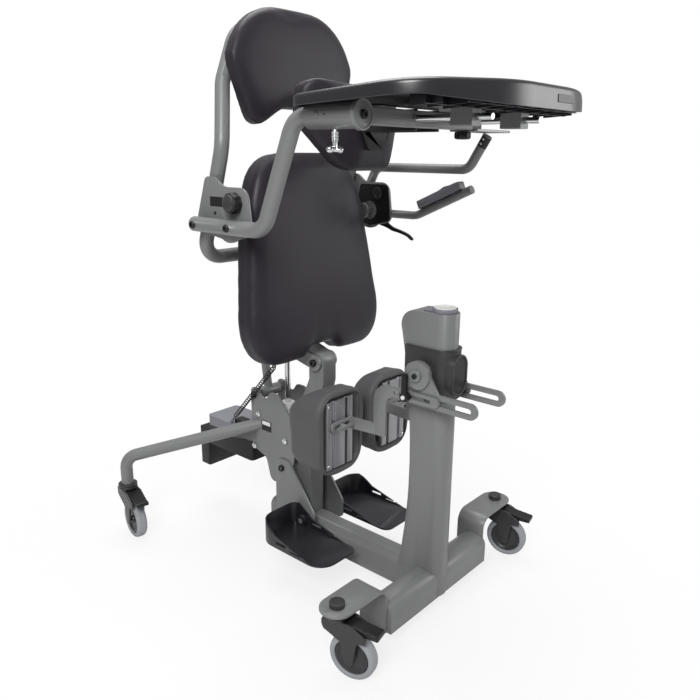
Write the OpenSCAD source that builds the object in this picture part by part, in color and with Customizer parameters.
// A powered sit-to-stand frame on four braked casters, seen at its standing pose.
// The user faces -Y, +Z is up, and the origin lies on the floor under the middle of the object.

/* [Base] */
// Width of the centre beam
beam_w = 60; // [52:1:70]
// Height of the centre beam's section
beam_h = 72; // [60:1:80]
// Gap between the floor and the beam
beam_gap = 32; // [25:1:40]
// Rear end of the centre beam
beam_rear_y = 192; // [185:1:215]
// Middle of the front crossbar
cross_y = -310; // [-318:1:-300]
// Length of the front crossbar
cross_len = 372; // [340:1:390]
// Width of the front crossbar's section
cross_w = 66; // [56:1:74]
// Height of the front crossbar's section
cross_h = 66; // [56:1:70]
// Width of the two sheet straps that carry the front casters
strap_w = 72; // [64:1:80]
// Thickness of the strap sheet
strap_t = 5; // [4:0.5:7]
// Height of the straps' top face
strap_top = 146; // [143:1:152]
// Sideways place of the front caster stems
front_stem_x = 302; // [285:1:308]
// Place of the front caster stems along the frame
front_stem_y = -297; // [-304:1:-290]
// Diameter of the rear leg tubes
leg_d = 32; // [28:1:36]
// Sideways place of the rear caster stems
rear_stem_x = 277; // [265:1:290]
// Place of the rear caster stems along the frame
rear_stem_y = 490; // [480:1:500]

/* [Casters] */
// Diameter of the caster wheels
wheel_d = 100; // [94:1:104]
// Width of the tyres
tyre_w = 28; // [24:1:30]
// Diameter of the wheel hubs inside the tyres
hub_d = 74; // [66:1:80]
// Distance from the stem to the wheel's axle
trail = 38; // [34:1:44]
// Diameter of the caster stems
stem_d = 12; // [10:1:14]
// How far the front right caster is turned inwards
front_right_turn = 13; // [0:1:25]
// How far the front left caster is turned outwards
front_left_turn = 11; // [0:1:12]
// How far the rear casters are turned outwards
rear_turn = 10; // [0:1:20]

/* [Mast] */
// Width of the mast
mast_w = 60; // [54:1:66]
// Front face of the mast
mast_front_y = -348; // [-352:1:-342]
// Depth of the mast at its waist
mast_waist = 85; // [78:1:92]
// Extra depth of the mast at its head and foot
mast_flare = 33; // [20:1:40]
// Height of the mast's waist
mast_waist_z = 340; // [300:1:380]
// Height of the mast's top
mast_top = 690; // [670:1:700]

/* [Hub] */
// Distance between the outer faces of the hub plates
hub_w = 100; // [96:1:110]
// Thickness of the hub plates and foot posts
plate_t = 6; // [5:0.5:8]
// Thickness of the rear column across the frame
column_w = 44; // [40:1:50]
// Place of the seat pivot along the frame
seat_pivot_y = 28; // [24:1:32]
// Height of the seat pivot
seat_pivot_z = 517; // [512:1:522]
// Diameter of the seat pivot pin
seat_pin_d = 16; // [14:1:20]
// Place of the lower link pivot along the frame
link_pivot_y = 224; // [220:1:230]
// Height of the lower link pivot
link_pivot_z = 395; // [390:1:400]
// Diameter of the link tube
link_d = 22; // [18:1:24]

/* [Actuator] */
// Place of the lift actuator along the frame
act_y = 151; // [150:1:154]
// Diameter of the actuator's outer tube
act_d = 34; // [30:1:36]
// Height of the actuator tube's top
act_top = 382; // [360:1:388]
// Diameter of the actuator's rod
act_rod_d = 14; // [12:1:18]
// Height of the rod's eye
act_eye_z = 600; // [590:1:610]

/* [Seat] */
// Lean of the seat at the standing pose
seat_tilt = 6.5; // [5:0.5:8]
// Length of the seat pad
seat_len = 480; // [460:1:490]
// Half width of the seat pad at its widest
seat_half = 222; // [200:1:223]
// Half width of the seat pad near its top
seat_half_top = 188; // [178:1:190]
// Thickness of the seat pad
seat_thick = 66; // [55:1:70]
// Height of the seat pad's lower edge
seat_bottom_z = 529; // [528:1:533]

/* [Back] */
// Place of the back pivot along the frame
back_pivot_y = 76; // [74:1:78]
// Height of the back pivot
back_pivot_z = 861; // [858:1:864]
// Diameter of the back and arm tubes
tube_d = 32; // [30:1:34]
// Sideways place of the back loop's uprights
loop_x = 213; // [212:1:218]
// Lean of the back loop's uprights
loop_lean = 18.5; // [17:0.5:20]
// Place of the back tube along the frame where it bends
back_tube_y = 113; // [110:1:116]
// Height where the back tube bends upright
back_kink_z = 1012; // [1005:1:1020]
// Width of the back pad at its widest
back_w = 382; // [360:1:390]
// Height of the back pad's top
back_top = 1308; // [1300:1:1316]
// Height of the back pad's lower corners
back_low = 1046; // [1040:1:1055]
// Lean of the back pad
back_lean = 5; // [3:0.5:7]
// Thickness of the back pad
back_thick = 40; // [34:1:44]

/* [Arms] */
// Height of the tray arm's lower run
arm_z = 851; // [847:1:855]
// Rear end of the tray arm
arm_rear_y = 172; // [160:1:178]
// Place of the tray arm's lower bend
arm_low_y = -51; // [-56:1:-46]
// Place of the tray arm's upper bend
arm_high_y = -142; // [-146:1:-136]
// Height of the tray arm's upper run
arm_top_z = 1063; // [1060:1:1066]
// Front end of the tray sleeve
sleeve_front_y = -297; // [-304:1:-292]
// Diameter of the tray sleeve
sleeve_d = 46; // [42:1:48]
// Diameter of the tray rest arm
rest_d = 22; // [20:1:25]
// Height of the tray rest arm's level run
rest_z = 967; // [962:1:972]
// Diameter of the side handle
handle_d = 20; // [18:1:22]
// Height of the side handle's level run
handle_z = 854; // [852:1:858]
// Rise of the side handle's front run
handle_rise = 24; // [20:1:28]

/* [Tray] */
// Width of the tray
tray_w = 600; // [560:1:620]
// Front edge of the tray
tray_front_y = -515; // [-525:1:-505]
// Rear edge of the tray
tray_rear_y = -175; // [-185:1:-170]
// Rise of the tray's top above the arm's upper run, at the tray's rear edge
tray_rise = 34; // [33:1:37]
// Rise of the tray towards the front
tray_tilt = 3.5; // [2:0.5:4]
// Thickness of the tray's walls
tray_wall = 4; // [3:0.5:5]
// Depth of the tray's skirt at the rear
skirt_rear = 20; // [14:1:26]
// Depth of the tray's skirt at the front
skirt_front = 42; // [34:1:48]
// Width of the chest pad
chest_w = 300; // [260:1:320]
// Height of the chest pad
chest_h = 184; // [160:1:200]
// Thickness of the chest pad
chest_thick = 44; // [35:1:50]

/* [Knees] */
// Height of the knee spindles
knee_z = 564; // [560:1:568]
// Place of the knee spindles along the frame
knee_y = -297; // [-300:1:-294]
// Diameter of the knee discs
knee_disc_d = 60; // [52:1:64]
// Height of the slotted bars' middle
bar_z = 514; // [510:1:516]
// Depth of the slotted bars
bar_h = 34; // [30:1:36]
// Front end of the slotted bars
bar_front_y = -439; // [-450:1:-430]
// Sideways place of the knee pads' middle
knee_x = 97; // [95:1:102]
// Width of the knee pads
knee_w = 156; // [140:1:158]
// Height of the knee pads
knee_h = 205; // [190:1:215]
// Thickness of the knee pads
knee_thick = 56; // [48:1:62]
// Height of the knee pads' middle
knee_mid_z = 398; // [394:1:402]

/* [Feet] */
// Width of the foot plates
foot_w = 124; // [110:1:135]
// Heel end of the foot plates
foot_heel_y = 74; // [70:1:80]
// Toe end of the foot plates
foot_toe_y = -140; // [-150:1:-130]
// Height of the foot plates' floor
foot_floor_z = 96; // [92:1:100]
// Height of the heel loop above the floor
heel_h = 52; // [40:1:60]

/* [Hidden] */
$fn = 48;

// Colours of the finishes
frame_grey = "#7b7e7d";
dark_grey = "#4a4b4e";
black = "#232326";
pad_grey = "#47464b";
tyre_grey = "#96989c";
bright = "#b9bcc0";
white = "#e8e8e6";

// The user's right hand lies on the -X side
RIGHT = -1;
LEFT = 1;

// Clearance between moving pieces, radial clearance of running fits, and how far cuts run past a face
gap = 0.3;
fit = 0.05;
over = 2;
// How far a tube draws in over its bends
bend_draw = 0.2;

// Vectors and outlines
function unit(v) = v / norm(v);
function turn_of(a, b) = let (d = b - a) d > 180 ? d - 360 : d < -180 ? d + 360 : d;
// Corner points [a, b, radius] of a closed outline, turned into points with round corners
function rounded(corners, steps = 6) = [
    for (i = [0:len(corners) - 1])
        let (
            n = len(corners),
            c = corners[i],
            p = [c[0], c[1]],
            before = corners[(i + n - 1) % n],
            after = corners[(i + 1) % n],
            u = unit([before[0], before[1]] - p),
            v = unit([after[0], after[1]] - p),
            half = acos(u * v) / 2,
            mid = p + unit(u + v) * c[2] / sin(half),
            from = p + u * c[2] / tan(half) - mid,
            to = p + v * c[2] / tan(half) - mid,
            a = atan2(from[1], from[0]),
            sweep = turn_of(a, atan2(to[1], to[0]))
        )
        for (k = [0:steps]) mid + c[2] * [cos(a + sweep * k / steps), sin(a + sweep * k / steps)]
];
// The same corners mirrored to the other side, so that an outline is closed over its axis
function mirrored(corners) = concat(
    corners, [for (i = [len(corners) - 1:-1:0]) [-corners[i][0], corners[i][1], corners[i][2]]]
);

// Sections and solids that repeat
module section(w, h, r) {
    translate([-w / 2, 0]) square([w, h - r]);
    translate([r - w / 2, 0]) square([w - 2 * r, h]);
    for (s = [-1, 1]) translate([s * (w / 2 - r), h - r]) circle(r);
}
// A plate in the YZ plane, from x0 towards +X
module side_plate(x0, t) {
    translate([x0, 0, 0]) rotate([90, 0, 90]) linear_extrude(t) children();
}
// The children on both sides of the frame
module both_sides() {
    for (s = [RIGHT, LEFT]) scale_x(s) children();
}
module scale_x(s) {
    if (s == RIGHT) mirror([1, 0, 0]) children();
    else children();
}
// A pin along X through a point of the YZ plane
module pin_x(x0, y, z, d, len) {
    translate([x0, y, z]) rotate([0, 90, 0]) cylinder(d = d, h = len);
}
// A round bar from one point to another
module bar(p, q, d) {
    v = q - p;
    translate(p) rotate([0, acos(v[2] / norm(v)), atan2(v[1], v[0])]) cylinder(d = d, h = norm(v));
}
// A round tube through points, bent with one radius at each inner point, a little drawn in over the bends
module bent_tube(pts, d, r) {
    n = len(pts);
    dirs = [for (i = [0:n - 2]) unit(pts[i + 1] - pts[i])];
    turns = [for (i = [0:n - 1]) i == 0 || i == n - 1 ? 0 : acos(dirs[i - 1] * dirs[i])];
    cuts = [for (i = [0:n - 1]) turns[i] == 0 ? 0 : r * tan(turns[i] / 2) - over];
    for (i = [0:n - 2]) bar(pts[i] + dirs[i] * cuts[i], pts[i + 1] - dirs[i] * cuts[i + 1], d);
    for (i = [1:1:n - 2]) {
        start = pts[i] - dirs[i - 1] * (cuts[i] + over);
        side = unit(dirs[i] - dirs[i - 1] * (dirs[i - 1] * dirs[i]));
        e3 = cross(-side, dirs[i - 1]);
        mid = start + side * r;
        multmatrix([
            [-side[0], dirs[i - 1][0], e3[0], mid[0]],
            [-side[1], dirs[i - 1][1], e3[1], mid[1]],
            [-side[2], dirs[i - 1][2], e3[2], mid[2]],
            [0, 0, 0, 1]
        ]) rotate_extrude(angle = turns[i]) translate([r, 0]) circle(d = d - 2 * bend_draw);
    }
}

// Crowned cushions
// Each ring of a cushion is its outline times the first share, lifted by the second share of its thickness
cushion_shares = [
    [0.5, -0.5], [0.95, -0.5], [1, -0.4], [0.985, -0.08], [1, 0.2], [0.965, 0.36], [0.85, 0.44],
        [0.5, 0.5]
];
function cushion_points(outline, thick) = let (n = len(outline)) concat(
    [[0, 0, thick * cushion_shares[0][1]]],
    [for (s = cushion_shares) for (p = outline) [p[0] * s[0], p[1] * s[0], thick * s[1]]],
    [[0, 0, thick * cushion_shares[len(cushion_shares) - 1][1]]]
);
function ring_faces(n, rings, capped = true) = concat(
    capped ? [for (i = [0:n - 1]) [0, 1 + (i + 1) % n, 1 + i]] : [],
    [
        for (k = [0:rings - 2]) for (i = [0:n - 1])
            let (a = 1 + k * n + i, b = 1 + k * n + (i + 1) % n)
            for (f = [[a, b, b + n], [a, b + n, a + n]]) f
    ],
    capped ? [for (i = [0:n - 1]) [1 + rings * n, 1 + (rings - 1) * n + i,
        1 + (rings - 1) * n + (i + 1) % n]] : []
);
// A cushion over an outline drawn anticlockwise, its points moved by a function
module cushion(outline, thick, shape = function (p) p) {
    pts = [for (p = cushion_points(outline, thick)) shape(p)];
    polyhedron(pts, ring_faces(len(outline), len(cushion_shares)));
}

// Base
cross_lift = 5;
cross_gap = beam_gap + cross_lift;
beam_top = beam_gap + beam_h;
beam_round = 18;
cross_round = 24;
strap_lift = 1;
strap_foot = cross_gap + strap_lift;
strap_bend = 24;
strap_rise = strap_top - strap_t - strap_bend;
caster_top = strap_top - strap_t;
act_lug_gap = 13;
act_lug_r = 15;
act_base_rise = 18;
act_base_z = beam_top + act_base_rise;
act_pin_d = 10;

module base_beam() {
    color(frame_grey) {
        translate([0, beam_rear_y, beam_gap]) rotate([90, 0, 0])
            linear_extrude(beam_rear_y - cross_y) section(beam_w, beam_h, beam_round);
        side_plate(-cross_len / 2, cross_len) translate([cross_y, cross_gap])
            section(cross_w, cross_h, cross_round);
        both_sides() side_plate(act_lug_gap, plate_t) {
            translate([act_y, act_base_z]) circle(act_lug_r);
            translate([act_y - act_lug_r, beam_top - beam_round])
                square([2 * act_lug_r, act_base_z - beam_top + beam_round]);
        }
        pin_x(-act_lug_gap - plate_t, act_y, act_base_z, act_pin_d, 2 * (act_lug_gap + plate_t));
    }
}

module strap_profile() {
    bend_x = cross_len / 2 + strap_t + strap_bend;
    translate([cross_len / 2, strap_foot]) square([strap_t, strap_rise - strap_foot]);
    translate([bend_x, caster_top]) square([front_stem_x - bend_x, strap_t]);
    intersection() {
        translate([bend_x, strap_rise]) difference() {
            circle(strap_bend + strap_t);
            circle(strap_bend);
        }
        translate([cross_len / 2, strap_rise]) square(strap_bend + strap_t);
    }
}
module front_straps() {
    color(frame_grey) both_sides() difference() {
        union() {
            translate([0, front_stem_y + strap_w / 2, 0]) rotate([90, 0, 0]) linear_extrude(strap_w)
                strap_profile();
            translate([front_stem_x, front_stem_y, caster_top]) cylinder(d = strap_w, h = strap_t);
        }
        translate([front_stem_x, front_stem_y, caster_top - over])
            cylinder(d = stem_d + 2 * fit, h = strap_t + 2 * over);
    }
}

leg_bend = 40;
leg_knee_rise = 73;
leg_hub_drop = 83;
leg_knee_z = caster_top + leg_knee_rise;
leg_hub_y = link_pivot_y;
leg_hub_z = link_pivot_z - leg_hub_drop;
stem_socket = 42;
gusset_t = 5;
gusset_run_share = 0.3;
gusset_drop = 44;
module rear_legs() {
    start = [hub_w / 2, leg_hub_y, leg_hub_z];
    knee = [rear_stem_x, rear_stem_y, leg_knee_z];
    end = [rear_stem_x, rear_stem_y, caster_top];
    heading = atan2(knee[1] - start[1], knee[0] - start[0]);
    run = norm([knee[0] - start[0], knee[1] - start[1]]);
    drop = start[2] - knee[2];
    color(frame_grey) both_sides() difference() {
        union() {
            bent_tube([start - leg_d * unit(knee - start), knee, end], leg_d, leg_bend);
            translate(start) rotate([0, 0, heading]) rotate([90, 0, 0]) translate([0, 0, -gusset_t / 2])
                linear_extrude(gusset_t) polygon([
                    [-leg_d / 2, 0], [-leg_d / 2, -gusset_drop],
                        [run * gusset_run_share, -drop * gusset_run_share]
                ]);
        }
        translate([hub_w / 2 - 2 * leg_d, leg_hub_y - 2 * leg_d, leg_hub_z - 2 * leg_d])
            cube([2 * leg_d, 4 * leg_d, 4 * leg_d]);
        translate(end - [0, 0, over]) cylinder(d = stem_d + 2 * fit, h = stem_socket + over);
    }
}

// Casters, drawn with the stem on the Z axis and the wheel trailing towards -Y
axle_z = wheel_d / 2;
axle_d = 8;
fork_t = 5;
tyre_gap = 2.5;
roof_gap = 5;
fork_in = tyre_w / 2 + tyre_gap;
fork_d = 50;
fork_roof = wheel_d + roof_gap;
fork_head_z = caster_top - stem_d;
fork_ring_h = 4;
fork_nose_y = 24;
fork_shin_y = -20;
fork_tail_y = -74;
fork_round = 14;
axle_foot = 8;
cap_d = 32;
cap_h = 12;
pedal_y = -36;
pedal_z = 122;
pedal_pin_d = 5;
pedal_w = 32;
pedal_tail = 62;
pedal_t = 14;
pedal_lip = 5;

module at_caster(side, front) {
    scale_x(side) translate([front ? front_stem_x : rear_stem_x, front ? front_stem_y : rear_stem_y, 0])
        rotate([0, 0, !front ? rear_turn : side == RIGHT ? -front_right_turn : front_left_turn])
            children();
}
module fork_side() {
    low = axle_z - 3 * axle_foot / 2;
    tip_r = axle_foot * lug_side_share;
    polygon(rounded([
        [fork_nose_y, fork_head_z, fork_t], [fork_nose_y, fork_roof, fork_round],
        [fork_shin_y, wheel_d - 2 * axle_foot, fork_round],
        [axle_foot - trail, low, tip_r], [-trail - axle_foot, low, tip_r],
        [-trail - 2 * axle_foot, wheel_d - axle_foot, axle_foot],
        [fork_tail_y, wheel_d - axle_foot / 2, fork_t], [fork_tail_y, fork_roof + fork_t, fork_t],
        [pedal_y, fork_head_z, axle_foot]
    ]));
}
module caster_fork(side, front) {
    neck = caster_top - gap;
    color(dark_grey) at_caster(side, front) {
        for (k = [0, 2]) translate([0, 0, neck - (k + 1) * fork_ring_h])
            cylinder(d = fork_d, h = fork_ring_h);
        translate([0, 0, fork_head_z - fork_t])
            cylinder(d = fork_d - fork_ring_h, h = neck - fork_head_z + over);
        translate([0, 0, fork_head_z - fork_ring_h])
            cylinder(d = stem_d, h = caster_top - fork_head_z + fork_ring_h
                + (front ? strap_t + cap_h : stem_socket - over));
        if (front) translate([0, 0, strap_top + gap]) cylinder(d = cap_d, h = cap_h);
        for (s = [0, 1]) mirror([s, 0, 0]) side_plate(fork_in, fork_t) fork_side();
        translate([-fork_in - over, fork_t - fork_nose_y, fork_roof])
            cube([2 * (fork_in + over), 2 * (fork_nose_y - fork_t), fork_head_z - fork_roof - gap]);
        pin_x(-fork_in - over, -trail, axle_z, axle_d, 2 * (fork_in + over));
        pin_x(-fork_in - over, pedal_y, pedal_z, pedal_pin_d, 2 * (fork_in + over));
    }
}
tyre_round = 7;
hub_web = 6;
hub_rim = 5;
hub_boss_d = 22;
module caster_wheel(side, front) {
    r = wheel_d / 2;
    color(tyre_grey) at_caster(side, front) translate([0, -trail, axle_z]) rotate([0, 90, 0]) {
        rotate_extrude() difference() {
            union() {
                translate([hub_d / 2 + gap, -tyre_w / 2])
                    square([r - tyre_round - hub_d / 2 - gap, tyre_w]);
                translate([r - tyre_round, tyre_round - tyre_w / 2])
                    square([tyre_round, tyre_w - 2 * tyre_round]);
                for (s = [-1, 1]) translate([r - tyre_round, s * (tyre_w / 2 - tyre_round)])
                    circle(tyre_round);
            }
            translate([0, -tyre_w]) square([hub_d / 2 + gap, 2 * tyre_w]);
        }
        rotate_extrude() {
            translate([axle_d / 2 + fit, -tyre_w / 2]) square([(hub_boss_d - axle_d) / 2, tyre_w]);
            translate([axle_d / 2 + fit, -hub_web / 2]) square([hub_d / 2 - axle_d / 2 - fit, hub_web]);
            translate([hub_d / 2 - hub_rim, -tyre_w / 2]) square([hub_rim, tyre_w]);
        }
    }
}
module brake_pedal(side, front) {
    top = pedal_z + pedal_pin_d;
    low = top - pedal_t;
    tail = pedal_y - pedal_tail;
    color(black) at_caster(side, front) difference() {
        side_plate(-pedal_w / 2, pedal_w) polygon(rounded([
            [pedal_y + 2 * pedal_lip, low, pedal_lip / 2], [pedal_y + 2 * pedal_lip, top, pedal_lip],
            [tail, low + pedal_lip, pedal_lip / 2], [tail, low - pedal_lip, pedal_lip / 2],
            [fork_tail_y, low - pedal_lip, pedal_lip / 2]
        ]));
        pin_x(-pedal_w, pedal_y, pedal_z, pedal_pin_d + 2 * fit, 2 * pedal_w);
    }
}

// Mast
mast_steps = 10;
mast_round = 28;
mast_head_r = 33;
mast_foot_z = beam_gap + beam_round / 2;
mast_head_z = mast_top - mast_head_r;
mast_deep = mast_waist + mast_flare;
function mast_depth(z) = let (
    span = z > mast_waist_z ? mast_head_z - mast_waist_z : mast_waist_z - mast_foot_z,
    share = (z - mast_waist_z) / span
) mast_waist + mast_flare * share * share;
module mast_solid() {
    rear = [for (i = [0:2 * mast_steps])
        let (z = mast_foot_z + (mast_head_z - mast_foot_z) * i / (2 * mast_steps))
        [mast_front_y + mast_depth(z), z]];
    intersection() {
        side_plate(-mast_w / 2, mast_w) {
            polygon(concat([[mast_front_y, mast_head_z], [mast_front_y, mast_foot_z]], rear));
            translate([mast_front_y, mast_head_z]) square([mast_deep - mast_head_r, mast_head_r]);
            translate([mast_front_y + mast_deep - mast_head_r, mast_head_z]) circle(mast_head_r);
        }
        translate([0, mast_front_y + 2 * mast_deep, 0]) rotate([0, 0, 180])
            linear_extrude(mast_top + over) section(mast_w, 2 * mast_deep, mast_round);
    }
}
module mast_column() {
    color(frame_grey) difference() {
        mast_solid();
        base_beam();
    }
}
cap_plug_d = 52;
cap_plug_h = 9;
lid_w = 44;
lid_len = 38;
lid_t = 4;
module mast_cap() {
    color(dark_grey) {
        translate([0, mast_front_y + mast_w / 2, mast_top]) cylinder(d = cap_plug_d, h = cap_plug_h);
        translate([-lid_w / 2, mast_front_y + mast_w / 2, mast_top]) cube([lid_w, lid_len, lid_t]);
    }
}

// Hub and rear column
hub_in = hub_w / 2 - plate_t;
spacer_d = 34;
spacer_y = 108;
spacer_z = 300;
low_spacer_y = 112;
low_spacer_z = 222;
column_front_y = 48;
column_rear_y = 130;
column_shoulder_z = 300;
column_neck_z = 470;
post_half = 24;
link_pin_d = 14;
hub_round = 18;
hub_rise = 20;
hub_behind = 14;
hub_top_z = link_pivot_z + hub_rise;
hub_rear_y = link_pivot_y + hub_behind;
module rear_column() {
    color(frame_grey) difference() {
        union() {
            side_plate(-column_w / 2, column_w) {
                translate([seat_pivot_y, seat_pivot_z]) circle(post_half);
                polygon([
                    [column_front_y, beam_top], [column_rear_y, beam_top],
                        [column_rear_y, column_shoulder_z],
                    [seat_pivot_y + post_half, column_neck_z], [seat_pivot_y + post_half, seat_pivot_z],
                    [seat_pivot_y - post_half, seat_pivot_z], [seat_pivot_y - post_half, column_neck_z],
                    [column_front_y, column_shoulder_z]
                ]);
            }
            pin_x(-hub_in, spacer_y, spacer_z, spacer_d, 2 * hub_in);
            pin_x(-hub_in, low_spacer_y, low_spacer_z, spacer_d, 2 * hub_in);
        }
        pin_x(-column_w, seat_pivot_y, seat_pivot_z, seat_pin_d + 2 * fit, 2 * column_w);
    }
}
hub_low_z = 168;
hub_waist_z = 250;
ankle_y = 118;
ankle_z = 224;
bolt_d = 15;
bolt_h = 5;
module hub_bolts() {
    for (p = [[leg_hub_y - hub_round, leg_hub_z + 2 * hub_round], [leg_hub_y, hub_waist_z + bolt_h],
        [spacer_y, spacer_z]])
        pin_x(hub_w / 2, p[0], p[1], bolt_d, bolt_h);
}
module hub_plates() {
    horn_r = 2 * hub_round / 3;
    color(frame_grey) {
        both_sides() {
            side_plate(hub_in, plate_t) polygon(rounded([
                [hub_rear_y, hub_top_z, horn_r], [link_pivot_y - hub_behind, hub_top_z, horn_r],
                [link_pivot_y - 2 * hub_round, link_pivot_z - hub_round, hub_round],
                [act_y + hub_behind, hub_top_z, horn_r], [act_y - hub_behind, hub_top_z, horn_r],
                [spacer_y - 2 * hub_round, spacer_z + 2 * hub_round, hub_round],
                [ankle_y - 2 * hub_round, hub_waist_z, hub_round],
                [ankle_y - hub_round, ankle_z - 2 * hub_round, hub_round],
                [hub_rear_y - 4 * hub_round, hub_low_z, hub_round],
                [hub_rear_y - 3 * hub_round, hub_waist_z - hub_round, hub_round],
                [hub_rear_y - gap, hub_waist_z, hub_round]
            ]));
            hub_bolts();
        }
        pin_x(-hub_in, link_pivot_y, link_pivot_z, link_pin_d, 2 * hub_in);
    }
}

box_w = 104;
box_len = 186;
box_z = 204;
box_h = 86;
box_round = 10;
battery_len = 40;
battery_z = 134;
battery_h = 112;
socket_d = 16;
socket_h = 12;
plug_w = 34;
plug_len = 26;
plug_h = 12;
cord_d = 2.8;
cord_start = [-48, 318, 302];
cord_end = [-72, 110, 510];
cord_axis = unit(cord_end - cord_start);
gland_d = 9;
gland_len = 16;
module box_solid(w, len, h, r) {
    linear_extrude(h) {
        translate([r - w / 2, 0]) square([w - 2 * r, len]);
        translate([-w / 2, r]) square([w, len - 2 * r]);
        for (s = [-1, 1]) for (y = [r, len - r]) translate([s * (w / 2 - r), y]) circle(r);
    }
}
module control_box() {
    color(black) {
        translate([0, hub_rear_y, box_z]) {
            box_solid(box_w, box_len, box_h, box_round);
            for (s = [-1, 0, 1]) translate([s * 2 * socket_d, box_len / 2, -socket_h])
                cylinder(d = socket_d, h = socket_h);
            translate([-box_w / 2 + box_round, box_len / 4, box_h]) cube([plug_len, plug_w, plug_h]);
        }
        bar(cord_start - gland_len * cord_axis, cord_start, gland_d);
    }
}
module battery_pack() {
    color(black) translate([0, hub_rear_y + box_len, battery_z])
        box_solid(box_w, battery_len, battery_h, box_round / 2);
}

// Foot posts and foot plates
post_low_z = 80;
post_heel_y = 142;
post_toe_y = 6;
post_round = 24;
foot_pin_y = 40;
foot_pin_rise = 12;
foot_pin_z = foot_floor_z + foot_pin_rise;
foot_pin_d = 14;
foot_pin_len = 14;
foot_in = hub_w / 2 + plate_t;
module foot_posts() {
    color(frame_grey) both_sides() {
        side_plate(hub_w / 2, plate_t) polygon(rounded([
            [ankle_y + post_round, ankle_z + post_round, post_round],
                [ankle_y - post_round, ankle_z + post_round, post_round],
            [post_toe_y, foot_pin_z + post_round, post_round], [post_toe_y, post_low_z, post_round / 2],
            [post_heel_y, post_low_z, post_round / 2]
        ]));
        pin_x(foot_in, foot_pin_y, foot_pin_z, foot_pin_d, foot_pin_len);
        for (p = [[ankle_y, ankle_z], [post_heel_y - post_round, post_low_z + post_round]])
            pin_x(foot_in, p[0], p[1], bolt_d, bolt_h);
    }
}
foot_wall = 4;
foot_round = 44;
foot_slot_w = 7;
foot_slot_len = 32;
foot_slot_rise = 8;
foot_boss_d = 28;
module foot_outline(inset) {
    x0 = foot_in + gap + inset;
    x1 = foot_in + gap + foot_w - inset;
    polygon(rounded([
        [x0, foot_toe_y + inset, foot_round / 2 - inset], [x1, foot_toe_y + inset, foot_round - inset],
        [x1, foot_heel_y - inset, foot_round - inset], [x0, foot_heel_y - inset, foot_round / 2 - inset]
    ]));
}
module foot_plate(side) {
    rise = foot_wall + heel_h;
    color(black) scale_x(side) difference() {
        union() {
            difference() {
                translate([0, 0, foot_floor_z - foot_wall]) linear_extrude(rise) foot_outline(0);
                translate([0, 0, foot_floor_z]) linear_extrude(rise) foot_outline(foot_wall);
                side_plate(0, 2 * foot_w) polygon([
                    [foot_toe_y - over, foot_floor_z], [foot_toe_y + foot_round, foot_floor_z],
                    [foot_pin_y - foot_boss_d, foot_floor_z + foot_pin_rise + foot_boss_d / 2],
                    [foot_pin_y + foot_boss_d / 2, foot_floor_z + heel_h],
                    [foot_pin_y + foot_boss_d / 2, foot_floor_z + heel_h + over],
                    [foot_toe_y - over, foot_floor_z + heel_h + over]
                ]);
                for (k = [1, 2]) translate([0, foot_pin_y - foot_boss_d / 2 - k * 3 * foot_slot_len / 2,
                    foot_floor_z + foot_slot_rise / k])
                    cube([2 * foot_w, foot_slot_len, foot_slot_w / k]);
            }
            translate([foot_in + gap, foot_pin_y - foot_boss_d / 2, foot_floor_z - foot_wall])
                cube([foot_pin_len, foot_boss_d, foot_wall + foot_pin_rise]);
            pin_x(foot_in + gap, foot_pin_y, foot_pin_z, foot_boss_d, foot_pin_len);
        }
        pin_x(foot_in - over, foot_pin_y, foot_pin_z, foot_pin_d + 2 * fit, foot_pin_len + gap + over);
    }
}

// Lift linkage
link_eye_d = 30;
link_low_half = 32;
link_top_half = 9;
lug_t = 6;
lug_gap = link_top_half + gap;
link_top = [link_pivot_y + back_pivot_y - seat_pivot_y, link_pivot_z + back_pivot_z - seat_pivot_z];
link_top_pin_d = 12;
module parallel_link() {
    color(frame_grey) difference() {
        union() {
            bar([0, link_pivot_y, link_pivot_z], [0, link_top[0], link_top[1]], link_d);
            pin_x(-link_low_half, link_pivot_y, link_pivot_z, link_eye_d, 2 * link_low_half);
        }
        pin_x(-hub_w, link_pivot_y, link_pivot_z, link_pin_d + 2 * fit, 2 * hub_w);
        pin_x(-hub_w, link_top[0], link_top[1], link_top_pin_d + 2 * fit, 2 * hub_w);
        for (s = [0, 1]) mirror([s, 0, 0])
            translate([link_top_half, link_top[0] - 2 * link_eye_d, link_top[1] - 2 * link_eye_d])
            cube(4 * link_eye_d);
    }
    color(frame_grey) difference() {
        pin_x(-link_top_half, link_top[0], link_top[1], link_eye_d, 2 * link_top_half);
        pin_x(-hub_w, link_top[0], link_top[1], link_top_pin_d + 2 * fit, 2 * hub_w);
    }
}
act_foot_h = 40;
act_foot_w = 24;
motor_len = 70;
motor_d = 46;
act_head_h = 12;
module actuator_tube() {
    color(white) difference() {
        union() {
            translate([0, act_y, act_base_z + act_lug_r + gap])
                cylinder(d = act_d, h = act_top - act_base_z - act_lug_r - gap);
            translate([-act_foot_w / 2, act_y - act_lug_r, act_base_z - act_lug_r / 2])
                cube([act_foot_w, 2 * act_lug_r, act_foot_h]);
            translate([0, act_y + (act_d + motor_d) / 2 - 2 * act_head_h / 3, act_base_z + act_foot_h])
                cylinder(d = motor_d, h = motor_len);
        }
        pin_x(-hub_w, act_y, act_base_z, act_pin_d + 2 * fit, 2 * hub_w);
        translate([0, act_y, act_base_z + act_foot_h]) cylinder(d = act_rod_d + 2 * fit, h = act_top);
    }
}
act_insert = 30;
act_eye_d = 26;
act_eye_half = 8.7;
module actuator_rod() {
    color(bright) {
        translate([0, act_y, act_top - act_insert])
            cylinder(d = act_rod_d, h = act_eye_z - act_top + act_insert);
        pin_x(-act_eye_half, act_y, act_eye_z, act_eye_d, 2 * act_eye_half);
    }
}

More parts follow.
